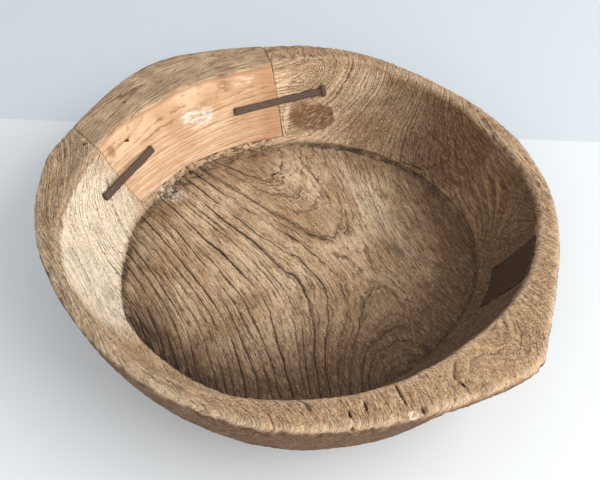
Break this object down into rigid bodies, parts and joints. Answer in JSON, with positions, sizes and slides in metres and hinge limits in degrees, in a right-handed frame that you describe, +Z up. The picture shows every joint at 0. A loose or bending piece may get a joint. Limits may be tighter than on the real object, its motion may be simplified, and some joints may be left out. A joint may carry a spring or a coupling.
{
  "type": "carved wooden bowl",
  "caption": "Broad shallow hand-carved wooden bowl with a thick worn rim, a let-in wooden rim patch, forged iron staples and a nailed sheet-iron wall plate.",
  "frame": {"origin": "middle of the flat base, on the surface that the bowl stands on", "axes": "+Z up through the mouth of the bowl, +Y towards the back of the pictured view, with the rim patch at the back left, +X towards the wall plate"},
  "size_m": [0.4452, 0.4505, 0.1],
  "materials": {
    "weathered_wood": "dry, worn open grain",
    "patch_wood": "smooth, hand-polished",
    "wedge_wood": "pale, split",
    "forged_iron": "hammered, brown rust",
    "sheet_iron": "flat, dark brown rust",
    "nail_iron": "dark rust"
  },
  "bodies": {
    "root": {"bowl_body": "weathered_wood", "rim_patch": "patch_wood", "joint_wedge": "wedge_wood", "staple_left": "forged_iron", "staple_right": "forged_iron", "wall_plate": "sheet_iron", "plate_nails": "nail_iron", "joint_nail": "nail_iron"}
  },
  "joints": []
}
